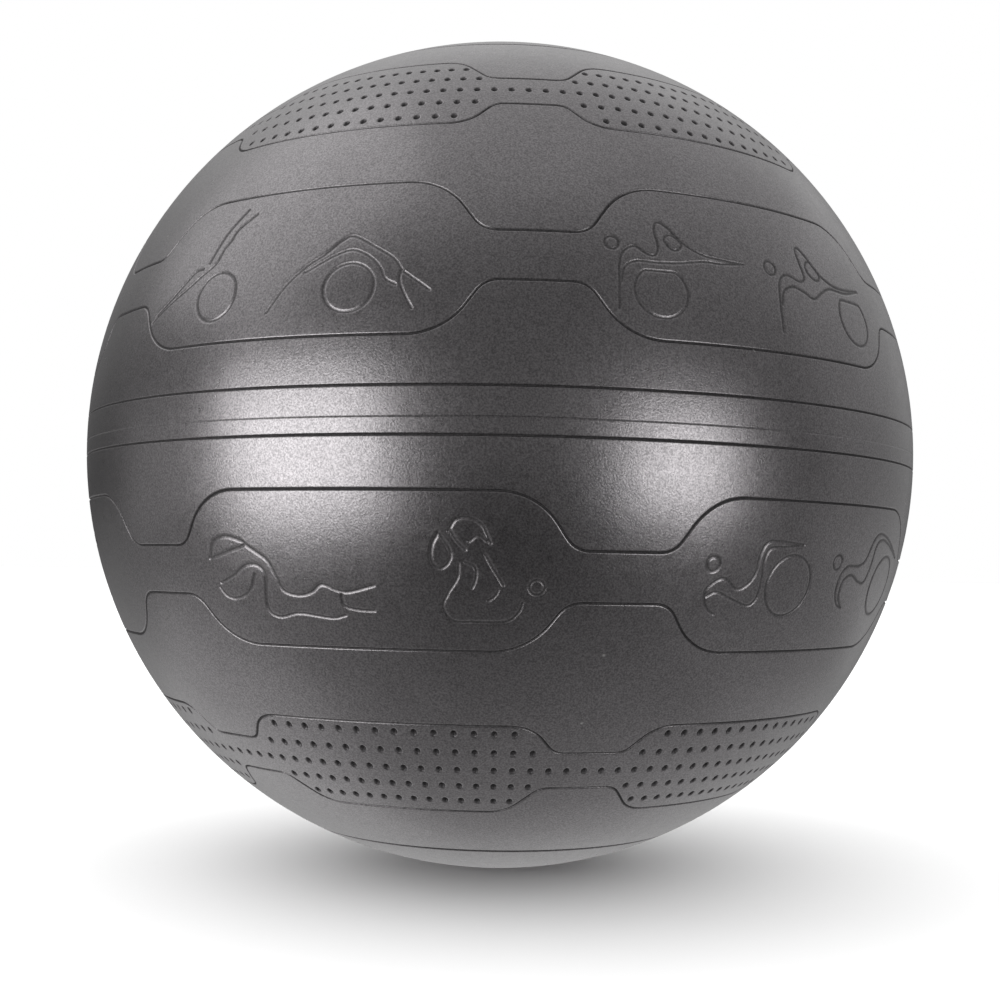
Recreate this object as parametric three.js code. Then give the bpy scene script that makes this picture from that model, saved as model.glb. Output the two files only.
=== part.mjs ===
// An inflated exercise ball: a thin soft PVC shell, the valve seat fused into its top pole, and
// the push-in plug that seals the seat's bore and pulls out to pump the ball up.
// Millimetres, +Z up. The origin is the middle of the flat patch that the ball stands on.
import * as THREE from 'three';

// Shell
const BALL_RADIUS = 325; // a 650 mm ball at full pressure
const WALL = 1; // the skin, stretched thin by the air inside
const FOOT_RADIUS = 30; // the patch that the ball's own weight flattens against the floor
const SHELL_SEGMENTS = 60;
const ARC_STEPS = 15; // from the equator to the foot, and from the equator to the valve hole

// Valve seat, with heights measured down from the pole
const GAP = 0.3; // between pieces that touch
const NECK_RADIUS = 14.7;
const RECESS_RADIUS = 10.8;
const RECESS_DEPTH = 1.8;
const FLANGE_RADIUS = 22;
const FLANGE_THICKNESS = 2;
const FILLET = 4; // where the flange runs into the barrel
const BARREL_TOP_RADIUS = 9;
const BARREL_END_RADIUS = 8;
const BARREL_LENGTH = 24;
const BORE_RADIUS = 4.6;
const BORE_CHAMFER = 0.8;

// Plug
const HEAD_RADIUS = 10.4;
const HEAD_RISE = 0.8; // how far the head stands above the pole
const HEAD_EDGE = 0.8; // chamfer round the top of the head
const STEM_RADIUS = 3.5;
const BARB_RADIUS = 4.25;
const BARB_RAMP = 2.2; // a barb's slope, widening upwards
const BARB_LAND = 0.8; // its widest stretch
const BARB_COUNT = 3;
const BARB_PITCH = 5.4;
const TIP_RADIUS = 2.4;
const STEM_LENGTH = 22;

const FITTING_SEGMENTS = 40;

const centreHeight = Math.sqrt(BALL_RADIUS ** 2 - FOOT_RADIUS ** 2);
const poleHeight = centreHeight + BALL_RADIUS;
const holeRadius = NECK_RADIUS + GAP;

const pvc = new THREE.MeshStandardMaterial({ color: 0x5d5c5e, roughness: 0.5, metalness: 0 });
const seatVinyl = new THREE.MeshStandardMaterial({ color: 0x4a494b, roughness: 0.55, metalness: 0 });
const plugPlastic = new THREE.MeshStandardMaterial({ color: 0xd8d7d2, roughness: 0.4, metalness: 0 });

// Height, above or below the pole, of a sphere round the ball's centre at a distance from its axis.
function heightOnSphere(radius, distance) {
  return Math.sqrt(radius ** 2 - distance ** 2) - BALL_RADIUS;
}

// Points on a circle of the given radius round the ball's centre, between two angles from +Z.
function arc(radius, startAngle, endAngle) {
  const points = [];
  for (let step = 0; step <= ARC_STEPS; step += 1) {
    const angle = startAngle + ((endAngle - startAngle) * step) / ARC_STEPS;
    const height = centreHeight + radius * Math.cos(angle);
    points.push(new THREE.Vector2(radius * Math.sin(angle), height));
  }
  return points;
}

// Half of the ball's section on one surface, from the flat foot up to the valve hole.
function surfaceOutline(radius, footHeight) {
  const footEdge = Math.acos((footHeight - centreHeight) / radius);
  const holeEdge = Math.asin(holeRadius / radius);
  const lowerHalf = arc(radius, footEdge, Math.PI / 2);
  const upperHalf = arc(radius, Math.PI / 2, holeEdge);
  return [...lowerHalf, ...upperHalf.slice(1)];
}

// The whole wall: out along the foot, up the outside, and back down the inside to the axis.
function shellOutline() {
  const outside = surfaceOutline(BALL_RADIUS, 0);
  const inside = surfaceOutline(BALL_RADIUS - WALL, WALL).reverse();
  return [new THREE.Vector2(0, 0), ...outside, ...inside, new THREE.Vector2(0, WALL)];
}

// The seat's collar and barrel. Its neck fills the shell's hole and its flange lies under the wall.
function seatOutline() {
  const wallUnderside = BALL_RADIUS - WALL;
  const flangeInner = heightOnSphere(wallUnderside, holeRadius) - GAP;
  const flangeOuter = heightOnSphere(wallUnderside, FLANGE_RADIUS) - GAP;
  const flangeBottom = flangeOuter - FLANGE_THICKNESS;
  return [
    [BORE_RADIUS, -BARREL_LENGTH],
    [BARREL_END_RADIUS, -BARREL_LENGTH],
    [BARREL_TOP_RADIUS, flangeBottom - FILLET],
    [BARREL_TOP_RADIUS + FILLET, flangeBottom],
    [FLANGE_RADIUS, flangeBottom],
    [FLANGE_RADIUS, flangeOuter],
    [NECK_RADIUS, flangeInner],
    [NECK_RADIUS, heightOnSphere(BALL_RADIUS, NECK_RADIUS)],
    [RECESS_RADIUS, heightOnSphere(BALL_RADIUS, RECESS_RADIUS)],
    [RECESS_RADIUS, -RECESS_DEPTH],
    [BORE_RADIUS + BORE_CHAMFER, -RECESS_DEPTH],
    [BORE_RADIUS, -RECESS_DEPTH - BORE_CHAMFER],
    [BORE_RADIUS, -BARREL_LENGTH],
  ];
}

// One barb of the stem, from the foot of its slope up to the step above its widest stretch.
function barb(foot) {
  const landTop = foot + BARB_RAMP + BARB_LAND;
  return [
    [STEM_RADIUS, foot],
    [BARB_RADIUS, foot + BARB_RAMP],
    [BARB_RADIUS, landTop],
    [STEM_RADIUS, landTop],
  ];
}

// The plug: a blunt tip, a barbed stem and a flat head that sits in the seat's recess.
function plugOutline() {
  const headBottom = GAP - RECESS_DEPTH;
  const firstBarb = -STEM_LENGTH + (STEM_RADIUS - TIP_RADIUS);
  const barbs = [];
  for (let index = 0; index < BARB_COUNT; index += 1) {
    barbs.push(...barb(firstBarb + index * BARB_PITCH));
  }
  return [
    [0, -STEM_LENGTH],
    [TIP_RADIUS, -STEM_LENGTH],
    ...barbs,
    [STEM_RADIUS, headBottom],
    [HEAD_RADIUS, headBottom],
    [HEAD_RADIUS, HEAD_RISE - HEAD_EDGE],
    [HEAD_RADIUS - HEAD_EDGE, HEAD_RISE],
    [0, HEAD_RISE],
  ];
}

// A solid of revolution about +Z.
function turned(name, points, segments, material) {
  const geometry = new THREE.LatheGeometry(points, segments);
  geometry.rotateX(Math.PI / 2);
  const mesh = new THREE.Mesh(geometry, material);
  mesh.name = name;
  return mesh;
}

// A turned fitting whose outline is given from the pole, so that it is placed at the pole.
function fitting(name, outline, material) {
  const points = outline.map(([distance, height]) => new THREE.Vector2(distance, height));
  const mesh = turned(name, points, FITTING_SEGMENTS, material);
  mesh.position.z = poleHeight;
  return mesh;
}

const ball = new THREE.Group();
ball.add(turned('ball_shell', shellOutline(), SHELL_SEGMENTS, pvc));
ball.add(fitting('valve_seat', seatOutline(), seatVinyl));
ball.add(fitting('valve_plug', plugOutline(), plugPlastic));

export default ball;
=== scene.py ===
"""An inflated exercise ball. Its skin carries two dimpled grip bands, two bands of panels engraved
with exercise figures, a belt round the equator and a ring round each pole. A plug closes the
valve seat at the top pole.

The relief is real geometry. Each hemisphere's patterned zone repeats every half turn, so it is
triangulated once, on a Mercator map where angles keep their size, and turned into place.
"""
import math
import bmesh
import bpy
import numpy as np
from mathutils import Matrix, Vector, geometry, kdtree


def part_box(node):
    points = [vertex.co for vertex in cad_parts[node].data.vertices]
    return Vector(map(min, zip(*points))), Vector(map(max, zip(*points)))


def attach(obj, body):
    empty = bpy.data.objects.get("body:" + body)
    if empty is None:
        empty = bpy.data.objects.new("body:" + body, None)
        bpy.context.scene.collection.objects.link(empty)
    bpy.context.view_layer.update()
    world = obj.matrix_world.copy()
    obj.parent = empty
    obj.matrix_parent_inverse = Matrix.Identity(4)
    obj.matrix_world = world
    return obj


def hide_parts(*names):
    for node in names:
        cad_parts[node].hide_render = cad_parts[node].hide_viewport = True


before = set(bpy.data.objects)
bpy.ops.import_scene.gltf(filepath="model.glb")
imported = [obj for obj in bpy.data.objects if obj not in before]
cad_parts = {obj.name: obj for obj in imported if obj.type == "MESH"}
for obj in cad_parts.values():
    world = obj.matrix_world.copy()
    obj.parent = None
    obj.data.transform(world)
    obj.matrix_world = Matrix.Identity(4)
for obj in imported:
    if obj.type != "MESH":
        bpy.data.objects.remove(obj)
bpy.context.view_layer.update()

# ---------------------------------------------------------------- sizes, in millimetres and degrees
MM = 0.001
shell_low, shell_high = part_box("ball_shell")
RADIUS = (shell_high.x - shell_low.x) / 2 / MM
FOOT_RADIUS = 30
CENTRE_HEIGHT = math.sqrt(RADIUS ** 2 - FOOT_RADIUS ** 2)
HOLE_RADIUS = 14.85
SKIN_DEPTH = 3.0  # from the outside to the inside surface, behind the deepest dimple

PERIOD = 60  # degrees from one neck of a band to the next
TILE = 180  # degrees after which the engraved figures repeat
COLUMN = 1.5  # degrees between the points where two zones of the skin meet
UPPER_NECK = 0  # longitude of a neck of the upper bands; the front, -Y, is 0 and east is positive
LOWER_NECK = 10.5

# Latitudes of each band's outline: (in the wide panel, in the narrow neck). rows is the middle row
# of dimples and dimple their half width and half height in millimetres.
UPPER_GRIP = {"top": (52.9, 47.5), "bottom": (37.2, 41.2), "rows": 44.5, "dimple": (2.6, 2.9)}
UPPER_FIGURES = {"top": (27.5, 20.8), "bottom": (8.4, 14.7), "middle": 18.0}
LOWER_FIGURES = {"top": (-8.2, -14.5), "bottom": (-26.2, -20.3), "middle": -17.2}
LOWER_GRIP = {"top": (-36.1, -40.2), "bottom": (-51.4, -46.3), "rows": -43.2, "dimple": (2.4, 3.3)}
BELT_EDGES = (2.9, -2.4)
PARTING_LINE = -0.45
POLE_RING = 63.4

# How an outline steps from a neck to a panel: flat half of the neck, slope, and the two fillets
FIGURE_STEP = {"flat": 23, "slope": 56, "neck_fillet": 17, "panel_fillet": 44}
GRIP_STEP = {"flat": 18, "slope": 54, "neck_fillet": 12, "panel_fillet": 25}

# Relief: half width and depth of each kind of groove, then the share of it that is a flat floor
LINE_GROOVE = (1.1, 1.05)
BELT_GROOVE = (0.95, 1.0)
PARTING_GROOVE = (0.7, 0.14)
POLE_GROOVE = (2.0, 1.2)
FIGURE_GROOVE = (1.6, 0.48)
DOT_DEPTH = 2.0
GROOVE_FLOOR = 0.15
RING_FLOOR = 0.3
DOT_FLOOR = 0.35
DOT_ROW_PITCH = 2.93  # degrees
COLUMNS = 21  # columns of dimples in a period; the first lies on the neck's middle
DOT_PITCH = PERIOD / COLUMNS
ROW_STARTS = (4, 3, 0, 3, 4)  # the column where each row of a panel starts, as far from its end

LINE_STEP = 3.0  # spacing of the stations along an outline
STROKE_STEP = 2.0  # and along a stroke of a figure
CURVE_CHORDS = 12  # chords between two given points of a stroke
RING_POINTS = 16  # given points of a ring
NEAR_STATIONS = 4  # stations from which the depth at a point is found
PLAIN_PITCH = 9.0  # spacing of the points where the skin is smooth
PLAIN_ROWS = 0.87  # distance between their rows, in pitches
PLAIN_CLEARANCE = 0.45  # how near they come to a groove or dimple, in pitches
GROOVE_OFFSETS = (0.36, 0.68, 1.0, 1.45)  # rows of points beside a groove, in half widths
DOT_RINGS = (0.42, 0.74, 1.0, 1.28)  # rings of points in a dimple, in half sizes
DOT_SIDES = 14
ZONE_EDGES = (5.25, 57.0)  # latitudes between which the tiles lie
INNER_COLUMN = 6.0  # degrees between the points of the inside surface
INNER_ROWS = 16
WELD = 0.01  # points closer than this are one
POLE_DOT = 0.5  # radius of the point that closes the lower pole
SEAT_RADIUS = 14.75  # the seat's neck, where it meets the skin
TURNED_SIDES = 96
TURNED_STEP = 0.25  # length of a chord in a turned piece's fillets
SHARP_ANGLE = math.radians(40)

# The skin: colours in linear light, and how far the pearl pigment makes it reflect as metal does
SKIN_COLOUR_DARK = (0.187, 0.178, 0.183)
SKIN_COLOUR_LIGHT = (0.225, 0.215, 0.221)
SKIN_PEARL = 0.97
SKIN_ROUGHNESS = (0.27, 0.32)
GROOVE_ROUGHNESS = 0.4  # added where the relief is 1 mm deep
GROOVE_PAINTED_SHADE = ((0.05, 1.0), (0.44, 0.5), (0.9, 0.35))  # painted shade: brightness of the colour by depth of relief in millimetres, darkest in the deepest grooves and dimples
SKIN_GRAIN = 850  # grains of the moulded surface in a metre
GRAIN_SHADES = ((0.36, 0.6), (0.64, 1.08))
GRAIN_HEIGHT, GRAIN_STRENGTH = 0.0003, 0.34
CLOUDS = 9  # in a metre, as are the next two
POLISH_MARKS = 160
WAVES = 26
WAVE_HEIGHT, WAVE_STRENGTH = 0.0006, 0.25
SPECKS = 17  # cells in a metre, each with a speck of dust somewhere in it, nearly all off the surface
DUST_COLOUR = (0.5, 0.49, 0.48, 1)
SEAT_COLOURS = ((0.3, (0.018, 0.018, 0.019)), (0.7, (0.026, 0.025, 0.027)))
PLUG_COLOURS = ((0.3, (0.40, 0.39, 0.36)), (0.7, (0.46, 0.45, 0.42)))

# Camera: azimuth 0 is the front, metres and degrees
CAMERA_AZIMUTH = -3.7
CAMERA_ELEVATION = -4.45
CAMERA_DISTANCE = 3.655 * RADIUS * MM
CAMERA_LENS = 52.3
CAMERA_SHIFT = -0.0453
CAMERA_ROLL = 1.04

# Lamps: name, azimuth and elevation from the ball, width and height as seen from it, radiance
LAMP_DISTANCE = 8  # metres
SOFTBOXES = [
    ("key_softbox", -55, -2, 0.82, 0.6, 4.9),
    ("fill_softbox", 43, -4.5, 0.48, 0.41, 4.6),
    ("left_panel", -102, -2, 0.55, 0.35, 0.4),
    ("high_left_panel", -95.5, 48, 0.92, 0.92, 0.84),
    ("low_left_panel", -124, -44, 1.0, 0.8, 0.26),
    ("right_panel", 117, 9, 1.14, 1.0, 0.3),
]
FLOOR_REACH = 40  # metres
# Radiance of the room by height, from straight down at 0 to straight up at 1, over ROOM_PEAK
ROOM_PEAK = 1.35
ROOM_FRONT = ((0.0, 0.02), (0.33, 0.02), (0.5, 0.22), (0.68, 0.2), (0.85, 0.08), (1.0, 0.35))
ROOM_BACK = (
    (0.0, 0.66), (0.15, 0.77), (0.33, 0.44), (0.5, 0.04), (0.68, 0.26), (0.85, 0.87), (1.0, 0.97)
)
ROOM_LIGHT = 1.75  # what the room gives matt surfaces


# ---------------------------------------------------------------- places on the sphere
def on_sphere(longitude, latitude):
    """Unit vectors for longitudes and latitudes in radians."""
    longitude, latitude = np.asarray(longitude, float), np.asarray(latitude, float)
    return np.stack(
        [
            np.cos(latitude) * np.sin(longitude),
            -np.cos(latitude) * np.cos(longitude),
            np.sin(latitude),
        ],
        axis=-1,
    )


def to_map(directions, middle):
    """Mercator places, in radians, of unit vectors, with longitudes counted from the middle one."""
    turned = directions @ turn_matrix(-middle).T
    longitude = np.arctan2(turned[:, 0], -turned[:, 1]) + middle
    return np.stack([longitude, np.arctanh(np.clip(turned[:, 2], -0.9999, 0.9999))], axis=1)


def from_map(places):
    """Unit vectors of Mercator places."""
    return on_sphere(places[:, 0], np.arcsin(np.tanh(places[:, 1])))


def turn_matrix(angle):
    """Rotation about the polar axis that adds angle, in radians, to every longitude."""
    cosine, sine = math.cos(angle), math.sin(angle)
    return np.array([[cosine, -sine, 0], [sine, cosine, 0], [0, 0, 1]])


# ---------------------------------------------------------------- outlines and strokes
def fillet(corner, before, after, radius, step):
    """Points of an arc that rounds a corner between two neighbours."""
    corner, before, after = (np.array(p, float) for p in (corner, before, after))
    back = (before - corner) / np.linalg.norm(before - corner)
    ahead = (after - corner) / np.linalg.norm(after - corner)
    half = math.acos(np.clip(back @ ahead, -1, 1)) / 2
    tangent = radius / math.tan(half)
    centre = corner + (back + ahead) / np.linalg.norm(back + ahead) * radius / math.sin(half)
    start, end = corner + back * tangent - centre, corner + ahead * tangent - centre
    turn = math.atan2(start[0] * end[1] - start[1] * end[0], start @ end)
    count = max(2, math.ceil(abs(turn) * radius / step))
    angles = np.linspace(0, turn, count + 1)
    cosine, sine = np.cos(angles), np.sin(angles)
    x = cosine * start[0] - sine * start[1]
    y = sine * start[0] + cosine * start[1]
    return centre + np.stack([x, y], axis=1)


def resample(points, step, closed=False):
    """The same path with even spacing close to step."""
    points = np.vstack([points, points[:1]]) if closed else np.asarray(points, float)
    lengths = np.linalg.norm(np.diff(points, axis=0), axis=1)
    along = np.concatenate([[0], np.cumsum(lengths)])
    count = max(2, round(along[-1] / step))
    stations = np.linspace(0, along[-1], count + 1)[: count if closed else None]
    return np.stack([np.interp(stations, along, points[:, axis]) for axis in range(2)], axis=1)


def smooth(points, closed=False):
    """A Catmull-Rom curve through a few points, as many short chords."""
    points = np.asarray(points, float)
    if closed:
        padded = np.vstack([points[-1:], points, points[:2]])
    else:
        first, last = 2 * points[0] - points[1], 2 * points[-1] - points[-2]
        padded = np.vstack([first, points, last])
    t = np.linspace(0, 1, CURVE_CHORDS, endpoint=False)[:, None]
    spans = []
    for a, b, c, d in zip(padded, padded[1:], padded[2:], padded[3:]):
        spans.append(
            0.5 * (2 * b + (c - a) * t + (2 * a - 5 * b + 4 * c - d) * t**2
                   + (3 * b - a - 3 * c + d) * t**3)
        )
    path = np.vstack(spans)
    return path if closed else np.vstack([path, points[-1:]])


def outline(latitudes, step, neck, start):
    """One line of a band over a tile: narrow at each neck, wide in each panel, as unit vectors.
    It begins and ends at the tile's edges, where it runs level."""
    wide, narrow = latitudes
    scale = RADIUS * math.cos(math.radians((wide + narrow) / 2))  # millimetres per radian, eastward
    rise = RADIUS * math.radians(wide - narrow)
    run = abs(rise) / math.tan(math.radians(step["slope"]))
    bend = math.tan(math.radians(step["slope"]) / 2)
    neck_corner = step["flat"] + step["neck_fillet"] * bend
    half_period = scale * math.radians(PERIOD / 2)
    corners = [(0, 0), (neck_corner, 0), (neck_corner + run, rise), (half_period, rise)]
    half = np.vstack(
        [
            corners[:1],
            fillet(corners[1], corners[0], corners[2], step["neck_fillet"], LINE_STEP),
            fillet(corners[2], corners[1], corners[3], step["panel_fillet"], LINE_STEP),
            corners[3:],
        ]
    )
    other = half[::-1][1:] * (-1, 1) + (2 * half_period, 0)
    period = np.vstack([half, other[:-1]])
    turns = [period + (2 * half_period * k, 0) for k in range(-1, TILE // PERIOD + 2)]
    path = np.vstack(turns) + (scale * math.radians(neck), 0)
    first, last = scale * math.radians(start), scale * math.radians(start + TILE)
    heights = np.interp([first, last], path[:, 0], path[:, 1])
    inside = path[(path[:, 0] > first + WELD) & (path[:, 0] < last - WELD)]
    path = np.vstack([[first, heights[0]], inside, [last, heights[1]]])
    path = resample(path, LINE_STEP)
    return on_sphere(path[:, 0] / scale, math.radians(narrow) + path[:, 1] / RADIUS)


def stroke(points, panel_longitude, band, closed=False):
    """A groove of a figure, from points in millimetres east and north of its panel's centre."""
    middle = math.radians(band["middle"])
    path = resample(smooth(points, closed), STROKE_STEP, closed)
    longitude = math.radians(panel_longitude) + path[:, 0] / (RADIUS * math.cos(middle))
    return on_sphere(longitude, middle + path[:, 1] / RADIUS)


def ring(x, y, radius):
    """Points round a circle."""
    angles = np.linspace(0, 2 * math.pi, RING_POINTS, endpoint=False)
    return [(x + radius * math.cos(a), y + radius * math.sin(a)) for a in angles]


def flattened_ring(x, top, bottom, radius):
    """Points round a ball that is flat on top, where a body presses on it."""
    middle = bottom + radius
    reach = math.asin(min(1, (top - middle) / radius))
    angles = np.linspace(math.pi - reach, 2 * math.pi + reach, 15)
    arc = [(x + radius * math.cos(a), middle + radius * math.sin(a)) for a in angles]
    width = arc[-1][0] - x
    return arc + [(x + width * k, top + 0.6) for k in (0.75, 0, -0.75)]


# ---------------------------------------------------------------- engraved figures
# Each figure is a list of (points, closed), in millimetres east and north of its panel's centre.
LEG_RAISE = [
    ([(-117, -33), (-100, -22), (-84, -13), (-71, -4), (-62, 2), (-59, 8), (-57, 14), (-53, 19),
      (-50, 27), (-37, 38)], False),
    ([(-114, -29), (-99, -18), (-88, -8), (-80, -1), (-73, 0)], False),
    ([(-68, 4), (-64, 15), (-58, 28), (-47, 43)], False),
    (ring(-53, -22, 17), True),
]
BRIDGE = [
    ([(-8, -37), (3, -20), (16, -7), (28, 1), (38, 10), (46, 13), (62, 4), (74, -4), (80, -12)], False),
    ([(16, -11), (28, -4), (38, 1), (47, 3), (58, -2), (66, -10), (70, -18), (77, -22)], False),
    ([(80, -12), (79, -19), (83, -29), (88, -38)], False),
    ([(82, -14), (90, -20), (98, -26)], False),
    (ring(47, -23, 16.5), True),
]
PIKE = [
    (ring(-114, 10, 4.6), True),
    ([(-112, -35), (-111, -18), (-110, -4), (-106, 5), (-99, 8.5), (-92, 4), (-86, 3), (-83, 9),
      (-84, 21), (-81, 28), (-74, 24), (-65, 14), (-52, 7), (-38, 5), (-21, 4)], False),
    ([(-109.5, -17), (-107, -7), (-99, -2), (-85, -2), (-70, -1), (-52, 2), (-38, 2), (-21, 4)], False),
    ([(-78, 15), (-74, 19), (-69, 17), (-66, 12), (-70, 8), (-75, 9.5)], True),
    (flattened_ring(-84, -8.5, -39.5, 17.5), True),
]
PLANK = [
    (ring(2.5, 4.5, 5), True),
    ([(4, -40), (5, -22), (8, -6), (13, 0), (19, 1.5), (29, -1.5), (35, 2), (34, 14), (34, 23),
      (38, 25), (45, 18), (53, 8), (66, 1.5), (82, 0.5), (104, 3)], False),
    ([(7, -21), (11, -11), (21, -6.5), (31, -9), (40, -12.5), (50, -7), (62, -2), (82, -2), (104, 3)],
     False),
    ([(45, 16), (40, 12), (41, 6), (48, 2), (53, 5), (51, 11)], True),
    (flattened_ring(86, -8.5, -39.5, 18.5), True),
]
HEELS_UP = [
    ([(-110, 7), (-106, 17), (-96, 21.5), (-86, 20), (-79, 16.5), (-92, 12), (-110, 7)], False),
    ([(-79, 16.5), (-70, 11), (-63, 6), (-58, -4), (-54, -13), (-44, -16), (-34, -14), (-26, -8.5),
      (-16, -12), (-8, -13), (9, -8.5)], False),
    ([(-104, -9), (-92, -4), (-80, 3), (-71, 3), (-66, -3), (-68, -16), (-68, -27), (-60, -31),
      (-45, -28), (-22, -30.5), (-12, -28.5)], False),
    ([(-13, -15), (-12, -22), (-3, -24.5), (8, -25)], False),
    ([(-106, -12), (-101, -18), (-92, -19), (-81, -14), (-74, -3)], False),
]
CRUNCH = [
    ([(56, 26), (60, 33), (68, 34.5), (76, 30), (81, 19)], False),
    ([(50, 25), (46, 17), (46, 7), (51, 3), (56, 7), (57, 14), (51, 24)], False),
    ([(57, 27), (61, 20), (66, 15)], False),
    ([(68, 20), (74, 24), (79, 20)], False),
    ([(62, 6), (61, -3), (55, -13), (52, -22), (58, -30.5), (72, -31), (91, -30.5), (99, -24),
      (101, -18)], False),
    ([(66, 7), (72, 4), (72, -4), (70, -9)], False),
    ([(78, 12), (83, 3), (89, -7)], False),
    ([(80, -17), (84, -14), (86, -10)], False),
    (ring(109.5, -8, 4.8), True),
]
ROLL_OUT = [
    (ring(-103, 9, 4.8), True),
    ([(-96, -24), (-103, -19), (-106, -10), (-102, -4), (-95, 0), (-89, -2), (-82, -7), (-74, -4),
      (-69, 4), (-68, 15), (-63, 24), (-50, 24.5), (-31, 23)], False),
    ([(-104, -12), (-97, -9), (-84, -14), (-70, -18), (-64, -13), (-63, 0), (-64, 12), (-60, 20),
      (-47, 21), (-31, 23)], False),
    (ring(-37.5, -4.5, 20.5), True),
]
HAMSTRING_CURL = [
    (ring(9.5, 12, 5), True),
    ([(30, -20), (22, -17), (16, -8), (17, 3), (24, 9.5), (38, 10), (48, 14), (55, 27), (64, 33),
      (80, 31), (100, 24), (118, 17)], False),
    ([(30, -20), (22, -12), (22, -1), (31, 3.5), (44, -1), (54, -1.5), (59, 8), (62, 24), (70, 29),
      (84, 27), (101, 22), (118, 17)], False),
    (ring(90, -4, 21.5), True),
]


def moved(figure, east):
    """The same figure, further east in its panel."""
    return [([(x + east, y) for x, y in points], closed) for points, closed in figure]


# Eastward from the front neck, then repeated
UPPER_PANELS = (PIKE + PLANK, moved(PLANK, -65), LEG_RAISE + BRIDGE)
LOWER_PANELS = (ROLL_OUT + HAMSTRING_CURL, moved(HAMSTRING_CURL, -85), HEELS_UP + CRUNCH)


# ---------------------------------------------------------------- the patterned tiles
class Tile:
    """Points and edges of one tile of a hemisphere's patterned zone, and its grooves and dots."""

    def __init__(self, neck, edges):
        self.start = neck - DOT_PITCH / 2  # midway between two columns of dots
        self.middle = math.radians(self.start + TILE / 2)
        self.edges = edges
        self.points = []
        self.links = []
        self.count = 0
        self.grooves = []
        self.dots = []
        self.dot_size = None
        self.side_heights = []

    def add(self, places, closed=False, joined=True):
        """Adds a chain of Mercator places and returns their indices."""
        first = self.count
        self.points.append(places)
        self.count += len(places)
        indices = list(range(first, self.count))
        if joined:
            self.links += zip(indices, indices[1:])
        if closed:
            self.links.append((indices[-1], indices[0]))
        return indices

    def groove(self, path, shape, kind):
        """Adds a groove's centre line and the rows of points beside it. kind is level for an
        outline that crosses the tile, closed for a loop and open for a stroke with round ends."""
        width = shape[0]
        self.grooves.append((path, shape, kind == "closed"))
        ahead = np.roll(path, -1, axis=0) - np.roll(path, 1, axis=0)
        if kind != "closed":
            ahead[0], ahead[-1] = path[1] - path[0], path[-1] - path[-2]
        if kind == "level":
            for end in (0, -1):
                ahead[end] = np.cross((0, 0, 1), path[end])
        side = np.cross(path, ahead)
        side /= np.linalg.norm(side, axis=1)[:, None]
        self.add(to_map(path, self.middle), closed=kind == "closed")
        for share in GROOVE_OFFSETS:
            angle = share * width / RADIUS
            left = path * math.cos(angle) + side * math.sin(angle)
            right = path * math.cos(angle) - side * math.sin(angle)
            if kind == "open":
                loop = [left, end_cap(path[-1], side[-1], ahead[-1], angle), right[::-1]]
                loop.append(end_cap(path[0], -side[0], -ahead[0], angle))
                self.add(to_map(np.vstack(loop), self.middle), closed=True)
            else:
                self.add(to_map(left, self.middle), closed=kind == "closed")
                self.add(to_map(right, self.middle), closed=kind == "closed")
        if kind == "level":
            latitude = math.asin(path[0][2])
            offsets = [s * share * width / RADIUS for share in GROOVE_OFFSETS for s in (1, -1)]
            self.side_heights += [latitude + offset for offset in (0, *offsets)]

    def dot(self, longitude, latitude):
        """Adds the rings of an oval dimple."""
        centre = on_sphere(longitude, latitude)
        east = np.cross((0, 0, 1), centre)
        east /= np.linalg.norm(east)
        north = np.cross(centre, east)
        self.dots.append(centre)
        self.add(to_map(centre[None], self.middle), joined=False)
        angles = np.linspace(0, 2 * math.pi, DOT_SIDES, endpoint=False)[:, None]
        for share in DOT_RINGS:
            wide, high = (share * size / RADIUS for size in self.dot_size)
            oval = centre + east * np.cos(angles) * wide + north * np.sin(angles) * high
            oval /= np.linalg.norm(oval, axis=1)[:, None]
            self.add(to_map(oval, self.middle), closed=True)

    def frame_points(self):
        """Adds the tile's own outline, whose points match those of its neighbours."""
        low, high = sorted(math.radians(edge) for edge in self.edges)
        heights = sorted(h for h in self.side_heights if low < h < high)
        stops = [low, *heights, high]
        sides = []
        for a, b in zip(stops, stops[1:]):
            count = max(1, round((b - a) * RADIUS / PLAIN_PITCH))
            sides += list(np.linspace(a, b, count, endpoint=False))
        sides = np.arctanh(np.sin(np.array([*sides, high])))
        start = math.radians(self.start)
        columns = start + np.radians(np.arange(0, TILE + COLUMN / 2, COLUMN))
        bottom = np.stack([columns, np.full_like(columns, sides[0])], axis=1)
        top = np.stack([columns, np.full_like(columns, sides[-1])], axis=1)
        left = np.stack([np.full_like(sides, columns[0]), sides], axis=1)[1:-1]
        right = np.stack([np.full_like(sides, columns[-1]), sides], axis=1)[1:-1]
        return self.add(np.vstack([bottom, right, top[::-1], left[::-1]]), closed=True)

    def fill(self, feature_points):
        """Adds evenly spaced points on the smooth skin between the features."""
        tree = kdtree.KDTree(len(feature_points))
        for index, point in enumerate(feature_points):
            tree.insert(point, index)
        tree.balance()
        low, high = sorted(math.radians(edge) for edge in self.edges)
        rows = round((high - low) * RADIUS / (PLAIN_PITCH * PLAIN_ROWS))
        span = math.radians(TILE)
        found = []
        for row in range(1, rows):
            latitude = low + (high - low) * row / rows
            count = round(span * math.cos(latitude) * RADIUS / PLAIN_PITCH)
            shift = 0.25 if row % 2 else 0.75
            longitude = math.radians(self.start) + span * (np.arange(count) + shift) / count
            for point in on_sphere(longitude, np.full(count, latitude)):
                if tree.find(point)[2] * RADIUS > PLAIN_PITCH * PLAIN_CLEARANCE:
                    found.append(point)
        self.add(to_map(np.array(found), self.middle), joined=False)

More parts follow.
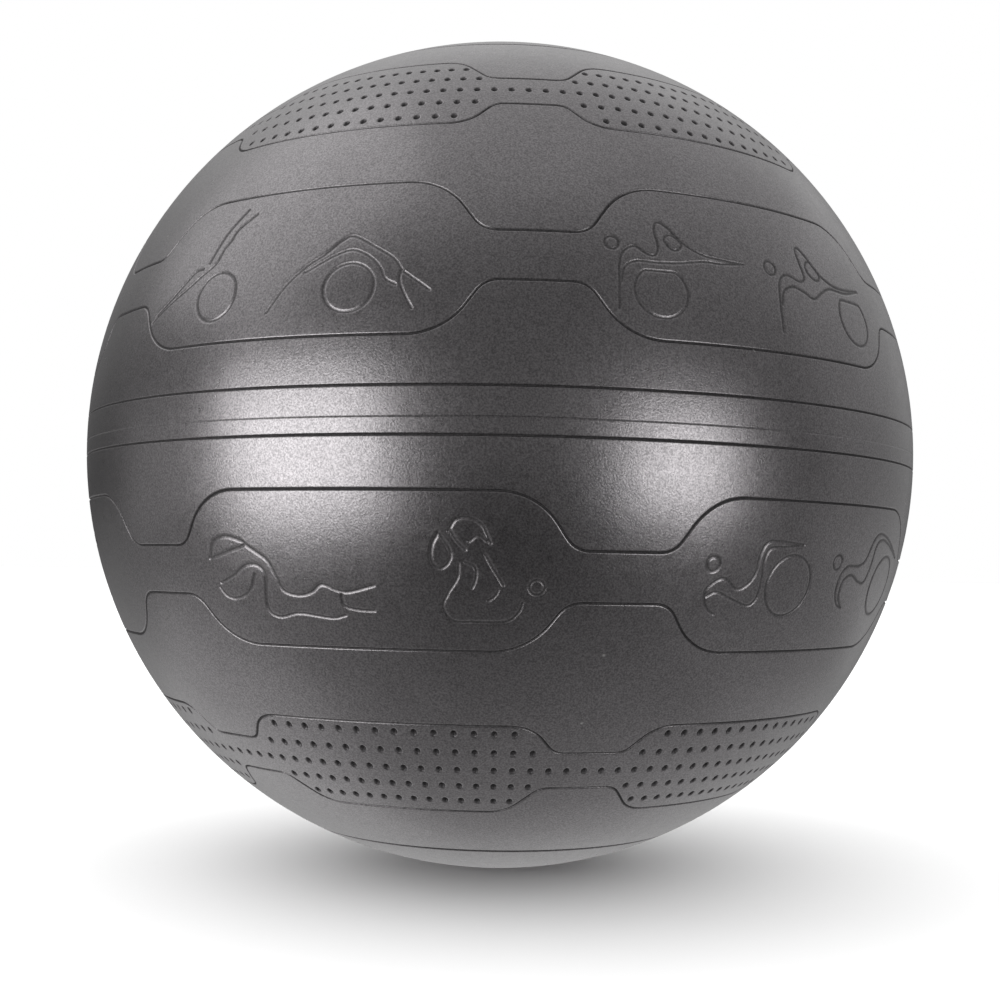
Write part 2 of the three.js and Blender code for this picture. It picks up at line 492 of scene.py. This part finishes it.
    def build(self):
        """Unit vectors and triangles of the finished tile."""
        outline_loop = self.frame_points()
        self.fill(from_map(np.vstack(self.points)))
        places = [Vector(p) for p in np.vstack(self.points)]
        result = geometry.delaunay_2d_cdt(places, self.links, [outline_loop], 1, 1e-7, False)
        directions = from_map(np.array([tuple(v) for v in result[0]]))
        return directions, np.array(result[2])


def end_cap(point, side, ahead, angle):
    """Points round the end of an open groove, from its left side to its right."""
    ahead = ahead / np.linalg.norm(ahead)
    turns = np.radians([60, 30, 0, -30, -60])[:, None]
    rim = side * np.sin(turns) + ahead * np.cos(turns)
    return point * math.cos(angle) + rim * math.sin(angle)


def grip_dots(tile, neck, grip):
    """The dimples of a grip band's tile: five rows, the middle one unbroken."""
    tile.dot_size = grip["dimple"]
    for period in range(TILE // PERIOD):
        for row, start in enumerate(ROW_STARTS):
            latitude = grip["rows"] + (2 - row) * DOT_ROW_PITCH
            for column in range(start, min(COLUMNS, COLUMNS + 1 - start)):
                longitude = neck + PERIOD * period + column * DOT_PITCH
                tile.dot(math.radians(longitude), math.radians(latitude))


def patterned_tile(neck, edges, grip, figures, panels):
    """One hemisphere's tile, with its outlines, dimples and figures."""
    tile = Tile(neck, edges)
    for band, step in ((grip, GRIP_STEP), (figures, FIGURE_STEP)):
        for line in ("top", "bottom"):
            tile.groove(outline(band[line], step, neck, tile.start), LINE_GROOVE, "level")
    for index, panel in enumerate(panels):
        for points, closed in panel:
            path = stroke(points, neck + PERIOD * (index + 0.5), figures, closed)
            tile.groove(path, FIGURE_GROOVE, "closed" if closed else "open")
    grip_dots(tile, neck, grip)
    return tile


# ---------------------------------------------------------------- relief
def fall(distance, start, end):
    """1 up to start, 0 from end, and a smooth slope between."""
    t = np.clip((distance - start) / (end - start), 0, 1)
    return 1 - t * t * (3 - 2 * t)


def tile_depth(tile, directions):
    """How far below the sphere each point of a tile lies, in millimetres."""
    stations = np.vstack([path for path, _, _ in tile.grooves])
    ahead, shapes = [], []
    for path, shape, closed in tile.grooves:
        following = np.roll(path, -1, axis=0)
        if not closed:
            following[-1] = path[-1]
        ahead.append(following)
        shapes += [shape] * len(path)
    ahead, shapes = np.vstack(ahead), np.array(shapes)
    tree = kdtree.KDTree(len(stations))
    for index, station in enumerate(stations):
        tree.insert(station, index)
    tree.balance()
    depth = np.zeros(len(directions))
    nearest = [[found[1] for found in tree.find_n(point, NEAR_STATIONS)] for point in directions]
    for near in np.array(nearest).T:
        start, span = stations[near], ahead[near] - stations[near]
        length = np.maximum((span**2).sum(axis=1), 1e-12)
        share = np.clip(((directions - start) * span).sum(axis=1) / length, 0, 1)
        gap = np.linalg.norm(directions - start - span * share[:, None], axis=1) * RADIUS
        width, deep = shapes[near].T
        depth = np.maximum(depth, deep * fall(gap / width, GROOVE_FLOOR, 1))
    dots = kdtree.KDTree(len(tile.dots))
    for index, centre in enumerate(tile.dots):
        dots.insert(centre, index)
    dots.balance()
    centres = np.array(tile.dots)[[dots.find(point)[1] for point in directions]]
    offset = (directions - centres) * RADIUS
    wide, high = tile.dot_size
    east = np.stack([-centres[:, 1], centres[:, 0], np.zeros(len(centres))], axis=1)
    east /= np.linalg.norm(east, axis=1)[:, None]
    across = (offset * east).sum(axis=1)
    upward = np.sqrt(np.maximum((offset**2).sum(axis=1) - across**2, 0))
    gap = np.hypot(across / wide, upward / high)
    return np.maximum(depth, DOT_DEPTH * fall(gap, DOT_FLOOR, 1))


RINGS = [(edge, BELT_GROOVE) for edge in BELT_EDGES]
RINGS += [(PARTING_LINE, PARTING_GROOVE), (POLE_RING, POLE_GROOVE), (-POLE_RING, POLE_GROOVE)]


def ring_depth(latitudes):
    """How far below the sphere the level grooves of the belt and the poles lie."""
    depth = np.zeros(len(latitudes))
    for middle, (width, deep) in RINGS:
        gap = np.abs(latitudes - math.radians(middle)) * RADIUS / width
        depth = np.maximum(depth, deep * fall(gap, RING_FLOOR, 1))
    return depth


# ---------------------------------------------------------------- the skin's meshes
class Surface:
    """Points, faces and depths of relief, joined into one mesh."""

    def __init__(self):
        self.points, self.faces, self.depths, self.count = [], [], [], 0

    def add(self, points, faces, depths):
        self.faces += (np.asarray(faces) + self.count).tolist()
        self.points.append(points)
        self.depths.append(depths)
        self.count += len(points)

    def add_tiles(self, tile):
        """The patterned zone: the tile, turned into each of its places."""
        directions, triangles = tile.build()
        depth = tile_depth(tile, directions)
        placed = directions * (RADIUS - depth)[:, None]
        for copy in range(360 // TILE):
            turn = turn_matrix(math.radians(copy * TILE))
            self.add(placed @ turn.T + (0, 0, CENTRE_HEIGHT), triangles, depth)

    def add_rings(self, low, high, start):
        """A plain zone between two latitudes, whose rows gather where a level groove crosses it."""
        stops = {low, high}
        for middle, (width, _) in RINGS:
            for share in (0, *GROOVE_OFFSETS):
                for side in (-1, 1):
                    latitude = middle + side * math.degrees(share * width / RADIUS)
                    if low < latitude < high:
                        stops.add(latitude)
        stops = sorted(stops)
        rows = []
        for a, b in zip(stops, stops[1:]):
            count = max(1, round(math.radians(b - a) * RADIUS / PLAIN_PITCH))
            rows += list(np.linspace(a, b, count, endpoint=False))
        rows = np.radians([*rows, high])
        columns = np.radians(start + np.arange(0, 360, COLUMN))
        longitude, latitude = (grid.ravel() for grid in np.meshgrid(columns, rows))
        depth = ring_depth(latitude)
        directions = on_sphere(longitude, latitude)
        reach = RADIUS - depth
        floor = directions[:, 2] < -CENTRE_HEIGHT / RADIUS
        reach[floor] = CENTRE_HEIGHT / -directions[floor, 2]
        self.add(
            directions * reach[:, None] + (0, 0, CENTRE_HEIGHT), grid_faces(len(rows), len(columns)),
            depth,
        )


def grid_faces(rows, columns):
    """Quads of a grid whose last column joins its first, seen from outside a sphere."""
    first = np.arange(rows - 1)[:, None] * columns
    here = np.arange(columns)[None]
    beside = (here + 1) % columns
    corners = [first + here, first + beside, first + beside + columns, first + here + columns]
    return np.stack(corners, axis=-1).reshape(-1, 4)


def inner_rows(surface, low, high):
    """The smooth inside surface between two latitudes, as seen from within."""
    rows = np.radians(np.linspace(low, high, INNER_ROWS))
    columns = np.radians(np.arange(0, 360, INNER_COLUMN))
    longitude, latitude = (grid.ravel() for grid in np.meshgrid(columns, rows))
    directions = on_sphere(longitude, latitude)
    reach = np.full(len(directions), RADIUS - SKIN_DEPTH)
    floor = (CENTRE_HEIGHT - SKIN_DEPTH) / np.maximum(-directions[:, 2], 1e-6)
    reach = np.minimum(reach, np.where(directions[:, 2] < 0, floor, reach))
    faces = grid_faces(len(rows), len(columns))[:, ::-1]
    surface.add(directions * reach[:, None] + (0, 0, CENTRE_HEIGHT), faces, np.zeros(len(reach)))


def open_loops(mesh):
    """The border edges of a bmesh, as one list for each closed border."""
    borders = {edge for edge in mesh.edges if edge.is_boundary}
    loops = []
    while borders:
        loop = [borders.pop()]
        reached = list(loop[0].verts)
        while reached:
            for edge in reached.pop().link_edges:
                if edge in borders:
                    borders.remove(edge)
                    loop.append(edge)
                    reached += edge.verts
        loops.append(loop)
    return loops


def border_place(loop):
    """The height and the distance from the axis of a border, averaged."""
    points = [vertex.co for edge in loop for vertex in edge.verts]
    height = sum(p.z for p in points) / len(points)
    return height, sum(math.hypot(p.x, p.y) for p in points) / len(points)


def skin_object(name, surface, material):
    """A closed half of the skin: welds the zones and joins the outside to the inside."""
    mesh = bmesh.new()
    layer = mesh.verts.layers.float.new("relief")
    points = [mesh.verts.new(Vector(p) * MM) for p in np.vstack(surface.points)]
    for vertex, depth in zip(points, np.concatenate(surface.depths)):
        vertex[layer] = depth
    for face in surface.faces:
        corners = [points[index] for index in dict.fromkeys(face)]
        if len(corners) > 2:
            mesh.faces.new(corners)
    bmesh.ops.remove_doubles(mesh, verts=mesh.verts, dist=WELD * MM)
    bmesh.ops.dissolve_degenerate(mesh, edges=mesh.edges, dist=WELD * MM)
    loops = sorted(open_loops(mesh), key=border_place)
    for pair in zip(loops[::2], loops[1::2]):
        bmesh.ops.bridge_loops(mesh, edges=pair[0] + pair[1])
    bmesh.ops.recalc_face_normals(mesh, faces=mesh.faces)
    for face in mesh.faces:
        face.smooth = True
    data = bpy.data.meshes.new(name)
    mesh.to_mesh(data)
    mesh.free()
    piece = bpy.data.objects.new(name, data)
    bpy.context.collection.objects.link(piece)
    data.materials.append(material)
    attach(piece, "ball")
    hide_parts("ball_shell")
    return piece


def half_skin(name, neck, sign, grip, figures, panels, material):
    """One moulded half of the ball, from the parting line to its pole. sign is 1 for the upper."""
    edges = tuple(sign * edge for edge in ZONE_EDGES)
    tile = patterned_tile(neck, edges, grip, figures, panels)
    pole_end = 90 - math.degrees(math.asin((HOLE_RADIUS if sign > 0 else POLE_DOT) / RADIUS))
    surface = Surface()
    surface.add_tiles(tile)
    surface.add_rings(*sorted((PARTING_LINE, edges[0])), tile.start)
    surface.add_rings(*sorted((edges[1], sign * pole_end)), tile.start)
    if sign > 0:
        inner_rows(surface, PARTING_LINE, pole_end)
    else:
        inner_rows(surface, -pole_end, PARTING_LINE)
    return skin_object(name, surface, material)


# ---------------------------------------------------------------- materials
def new_material(name):
    """A material, its node tree and its shader."""
    material = bpy.data.materials.new(name)
    material.use_nodes = True
    shader = material.node_tree.nodes["Principled BSDF"]
    return material, material.node_tree, shader


def node(tree, kind, **sockets):
    """A node of that kind with its inputs set, by socket name."""
    made = tree.nodes.new(kind)
    for name, value in sockets.items():
        made.inputs[name.replace("_", " ")].default_value = value
    return made


def noise(tree, place, scale, detail=3.0, roughness=0.5):
    """Cloudy values from 0 to 1, with that many clouds in a metre."""
    made = node(tree, "ShaderNodeTexNoise", Scale=scale, Detail=detail, Roughness=roughness)
    tree.links.new(place, made.inputs["Vector"])
    return made.outputs["Fac"]


def ramp(tree, value, *stops):
    """A colour ramp through (position, grey or colour) stops."""
    made = tree.nodes.new("ShaderNodeValToRGB")
    while len(made.color_ramp.elements) < len(stops):
        made.color_ramp.elements.new(0.5)
    for element, (position, colour) in zip(made.color_ramp.elements, stops):
        element.position = position
        colour = (colour,) * 3 if isinstance(colour, (int, float)) else colour
        element.color = (*colour, 1)
    tree.links.new(value, made.inputs["Fac"])
    return made.outputs["Color"]


def spread(tree, value, low, high, new_low, new_high):
    """The value, moved from one range to another."""
    made = node(
        tree, "ShaderNodeMapRange", From_Min=low, From_Max=high, To_Min=new_low, To_Max=new_high
    )
    tree.links.new(value, made.inputs["Value"])
    return made.outputs["Result"]


def add(tree, first, second):
    """The sum of two values."""
    made = tree.nodes.new("ShaderNodeMath")
    tree.links.new(first, made.inputs[0])
    tree.links.new(second, made.inputs[1])
    return made.outputs["Value"]


def multiply(tree, first, second):
    """The product of two colours."""
    made = tree.nodes.new("ShaderNodeMix")
    made.data_type, made.blend_type = "RGBA", "MULTIPLY"
    made.inputs["Factor"].default_value = 1
    tree.links.new(first, made.inputs["A"])
    tree.links.new(second, made.inputs["B"])
    return made.outputs["Result"]


def bump(tree, height, distance, strength, below=None):
    """A surface made uneven by a height, over a distance in metres and on top of a coarser bump."""
    made = node(tree, "ShaderNodeBump", Distance=distance, Strength=strength)
    tree.links.new(height, made.inputs["Height"])
    if below is not None:
        tree.links.new(below, made.inputs["Normal"])
    return made.outputs["Normal"]


def skin_material():
    """Charcoal PVC with a pearl pigment and a fine moulded grain, matt in its grooves, with shade
    painted into its colour there.
    """
    material, tree, shader = new_material("shell_pvc")
    link = tree.links.new
    place = tree.nodes.new("ShaderNodeTexCoord").outputs["Object"]
    relief = tree.nodes.new("ShaderNodeAttribute")
    relief.attribute_name = "relief"
    grains = noise(tree, place, SKIN_GRAIN, 2, 0.6)
    shade = noise(tree, place, CLOUDS, 4)
    clouds = ramp(tree, shade, (0.3, SKIN_COLOUR_DARK), (0.7, SKIN_COLOUR_LIGHT))
    speckle = ramp(tree, grains, *GRAIN_SHADES)
    # Painted shade: the depth of the relief darkens the colour, so grooves and dimples look shaded.
    painted_groove_shade = ramp(tree, relief.outputs["Fac"], *GROOVE_PAINTED_SHADE)
    colour = multiply(tree, multiply(tree, clouds, speckle), painted_groove_shade)
    specks = node(tree, "ShaderNodeTexVoronoi", Scale=SPECKS)
    link(place, specks.inputs["Vector"])
    dust = tree.nodes.new("ShaderNodeMix")
    dust.data_type = "RGBA"
    dust.inputs["B"].default_value = DUST_COLOUR
    link(ramp(tree, specks.outputs["Distance"], (0.008, 0.8), (0.022, 0.0)), dust.inputs["Factor"])
    link(colour, dust.inputs["A"])
    link(dust.outputs["Result"], shader.inputs["Base Color"])
    shader.inputs["Metallic"].default_value = SKIN_PEARL
    polish = spread(tree, noise(tree, place, POLISH_MARKS, 4), 0.3, 0.7, *SKIN_ROUGHNESS)
    matt = spread(tree, relief.outputs["Fac"], 0.05, 1, 0, GROOVE_ROUGHNESS)
    link(add(tree, polish, matt), shader.inputs["Roughness"])
    waves = bump(tree, noise(tree, place, WAVES, 2), WAVE_HEIGHT, WAVE_STRENGTH)
    link(bump(tree, grains, GRAIN_HEIGHT, GRAIN_STRENGTH, waves), shader.inputs["Normal"])
    return material


def seat_material():
    """Soft vinyl, a little darker and smoother than the skin."""
    material, tree, shader = new_material("seat_vinyl")
    place = tree.nodes.new("ShaderNodeTexCoord").outputs["Object"]
    colour = ramp(tree, noise(tree, place, 300), *SEAT_COLOURS)
    tree.links.new(colour, shader.inputs["Base Color"])
    shader.inputs["Roughness"].default_value = 0.42
    tree.links.new(bump(tree, noise(tree, place, 900), 0.0001, 0.3), shader.inputs["Normal"])
    return material


def plug_material():
    """Ivory-grey polyethylene, faintly mottled, with a soft sheen."""
    material, tree, shader = new_material("plug_plastic")
    place = tree.nodes.new("ShaderNodeTexCoord").outputs["Object"]
    colour = ramp(tree, noise(tree, place, 240), *PLUG_COLOURS)
    tree.links.new(colour, shader.inputs["Base Color"])
    polish = ramp(tree, noise(tree, place, 500), (0.3, 0.34), (0.7, 0.44))
    tree.links.new(polish, shader.inputs["Roughness"])
    shader.inputs["Subsurface Weight"].default_value = 0.15
    shader.inputs["Subsurface Radius"].default_value = (0.002, 0.002, 0.0018)
    tree.links.new(bump(tree, noise(tree, place, 1200), 0.00008, 0.3), shader.inputs["Normal"])
    return material


# ---------------------------------------------------------------- valve
def rounded(corners):
    """Profile points in millimetres from (distance, height, fillet radius) corners."""
    points = []
    for index, (distance, height, radius) in enumerate(corners):
        if radius:
            before, after = corners[index - 1][:2], corners[(index + 1) % len(corners)][:2]
            points += fillet((distance, height), before, after, radius, TURNED_STEP).tolist()
        else:
            points.append((distance, height))
    return points


def turned_piece(name, corners, node_name, body, material, closed):
    """A piece turned about the polar axis, its heights counted from the top of the ball."""
    profile = np.array(rounded(corners))
    angles = np.radians(np.arange(0, 360, 360 / TURNED_SIDES))
    x = profile[:, :1] * np.sin(angles)
    y = -profile[:, :1] * np.cos(angles)
    z = np.repeat(profile[:, 1:] + CENTRE_HEIGHT + RADIUS, len(angles), axis=1)
    points = np.stack([x, y, z], axis=-1).reshape(-1, 3) * MM
    faces = grid_faces(len(profile), len(angles)).tolist()
    if closed:
        last = (len(profile) - 1) * len(angles)
        for here in range(len(angles)):
            beside = (here + 1) % len(angles)
            faces.append((last + here, last + beside, beside, here))
    data = bpy.data.meshes.new(name)
    data.from_pydata(points.tolist(), [], faces)
    mesh = bmesh.new()
    mesh.from_mesh(data)
    bmesh.ops.remove_doubles(mesh, verts=mesh.verts, dist=WELD * MM)
    bmesh.ops.recalc_face_normals(mesh, faces=mesh.faces)
    for face in mesh.faces:
        face.smooth = True
    for edge in mesh.edges:
        edge.smooth = not edge.is_manifold or edge.calc_face_angle(0) < SHARP_ANGLE
    mesh.to_mesh(data)
    mesh.free()
    piece = bpy.data.objects.new(name, data)
    bpy.context.collection.objects.link(piece)
    data.materials.append(material)
    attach(piece, body)
    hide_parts(node_name)
    return piece


def valve_seat(material):
    """The collar fused into the skin, with a recess for the plug's head and a barrel inside."""
    edge = RADIUS - math.sqrt(RADIUS ** 2 - SEAT_RADIUS ** 2)
    corners = [
        (4.6, -24, 0.5), (8, -24, 0.8), (9, -8, 0), (12.5, -4.4, 2), (22, -4.1, 0.6),
        (22, -2.6, 0.6), (SEAT_RADIUS, -2.5, 0), (SEAT_RADIUS, -edge, 0.25), (11.4, -0.15, 0.4),
        (10.8, -1.8, 0.3), (5.4, -1.8, 0.25), (4.6, -2.6, 0.25),
    ]
    return turned_piece(
        "valve_seat_collar", corners, "valve_seat", "ball", material, True
    )


def valve_plug(material):
    """The barbed plug, with a dished head."""
    barbs = []
    for index in range(3):
        foot = -20.9 + 5.4 * index
        barbs += [(3.5, foot, 0.3), (4.25, foot + 2.2, 0.35)]
        barbs += [(4.25, foot + 3, 0.15), (3.5, foot + 3, 0.2)]
    corners = [
        (0, -22, 0), (2.4, -22, 0.6), *barbs, (3.5, -1.5, 0.35), (10.4, -1.5, 0.25),
        (10.4, 0.8, 0.75), (7.6, 0.8, 0.5), (7.1, 0.35, 0.5), (1.4, 0.35, 0.2), (1.2, 0.15, 0.2),
        (0, 0.15, 0),
    ]
    return turned_piece(
        "valve_plug_body", corners, "valve_plug", "plug", material, False
    )


# ---------------------------------------------------------------- stage, lights and camera
def aim(thing, place, target):
    """Puts a camera or light at a place, facing a target."""
    thing.location = place
    thing.rotation_mode = "QUATERNION"
    thing.rotation_quaternion = (Vector(target) - Vector(place)).to_track_quat("-Z", "Y")


def direction(azimuth, elevation):
    """Unit vector from the ball towards an azimuth, where 0 is -Y, and an elevation, in degrees."""
    return Vector(on_sphere(math.radians(azimuth), math.radians(elevation)))


def camera():
    """A close view, from a little below the ball's middle."""
    data = bpy.data.cameras.new("camera")
    data.sensor_width = 36
    data.lens = CAMERA_LENS
    data.shift_y = CAMERA_SHIFT
    made = bpy.data.objects.new("camera", data)
    bpy.context.collection.objects.link(made)
    centre = Vector((0, 0, CENTRE_HEIGHT * MM))
    aim(made, centre + direction(CAMERA_AZIMUTH, CAMERA_ELEVATION) * CAMERA_DISTANCE, centre)
    roll = Matrix.Rotation(math.radians(CAMERA_ROLL), 3, "Z").to_quaternion()
    made.rotation_quaternion = made.rotation_quaternion @ roll
    bpy.context.scene.camera = made


def softbox(name, azimuth, elevation, width, height, radiance):
    """A rectangular lamp that faces the ball, of even radiance over its face."""
    data = bpy.data.lights.new(name, "AREA")
    data.shape = "RECTANGLE"
    data.size, data.size_y = width * LAMP_DISTANCE, height * LAMP_DISTANCE
    data.energy = radiance * math.pi * data.size * data.size_y
    made = bpy.data.objects.new(name, data)
    bpy.context.collection.objects.link(made)
    made.visible_camera = False
    centre = Vector((0, 0, CENTRE_HEIGHT * MM))
    aim(made, centre + direction(azimuth, elevation) * LAMP_DISTANCE, centre)


def room():
    """White to the camera and even on the floor; its reflection is darker at the walls."""
    world = bpy.data.worlds.new("room")
    bpy.context.scene.world = world
    world.use_nodes = True
    tree = world.node_tree
    link = tree.links.new
    split = tree.nodes.new("ShaderNodeSeparateXYZ")
    link(tree.nodes.new("ShaderNodeTexCoord").outputs["Generated"], split.inputs[0])
    height, depth = [
        spread(tree, split.outputs[axis], -1, 1, 0, 1) for axis in ("Z", "Y")
    ]
    shades = tree.nodes.new("ShaderNodeMix")
    shades.data_type = "RGBA"
    link(ramp(tree, depth, (0.0, 0.0), (1.0, 1.0)), shades.inputs["Factor"])
    link(ramp(tree, height, *ROOM_FRONT), shades.inputs["A"])
    link(ramp(tree, height, *ROOM_BACK), shades.inputs["B"])
    lit = tree.nodes["Background"]
    lit.inputs["Strength"].default_value = ROOM_PEAK
    link(shades.outputs["Result"], lit.inputs["Color"])
    path, result = tree.nodes.new("ShaderNodeLightPath"), lit.outputs[0]
    for ray, strength in (("Is Diffuse Ray", ROOM_LIGHT), ("Is Camera Ray", 1.0)):
        plain = node(tree, "ShaderNodeBackground", Color=(1, 1, 1, 1), Strength=strength)
        choice = tree.nodes.new("ShaderNodeMixShader")
        link(path.outputs[ray], choice.inputs["Fac"])
        link(result, choice.inputs[1])
        link(plain.outputs[0], choice.inputs[2])
        result = choice.outputs[0]
    link(result, tree.nodes["World Output"].inputs["Surface"])


def studio():
    """A pale floor, and soft lamps beside the camera."""
    floor_data = bpy.data.meshes.new("floor")
    reach = FLOOR_REACH
    corners = [(-reach, -reach, 0), (reach, -reach, 0), (reach, reach, 0), (-reach, reach, 0)]
    floor_data.from_pydata(corners, [], [(0, 1, 2, 3)])
    floor = bpy.data.objects.new("floor", floor_data)
    bpy.context.collection.objects.link(floor)
    material, _, shader = new_material("pale_floor")
    shader.inputs["Base Color"].default_value = (0.8, 0.8, 0.8, 1)
    shader.inputs["Roughness"].default_value = 0.7
    shader.inputs["Specular IOR Level"].default_value = 0.2
    floor_data.materials.append(material)
    floor.visible_diffuse = floor.visible_glossy = floor.visible_shadow = False
    for lamp in SOFTBOXES:
        softbox(*lamp)


camera()
room()
studio()
pvc = skin_material()
half_skin("ball_skin_upper", UPPER_NECK, 1, UPPER_GRIP, UPPER_FIGURES, UPPER_PANELS, pvc)
half_skin("ball_skin_lower", LOWER_NECK, -1, LOWER_GRIP, LOWER_FIGURES, LOWER_PANELS, pvc)
valve_seat(seat_material())
valve_plug(plug_material())

bpy.context.scene.view_settings.view_transform = "Standard"
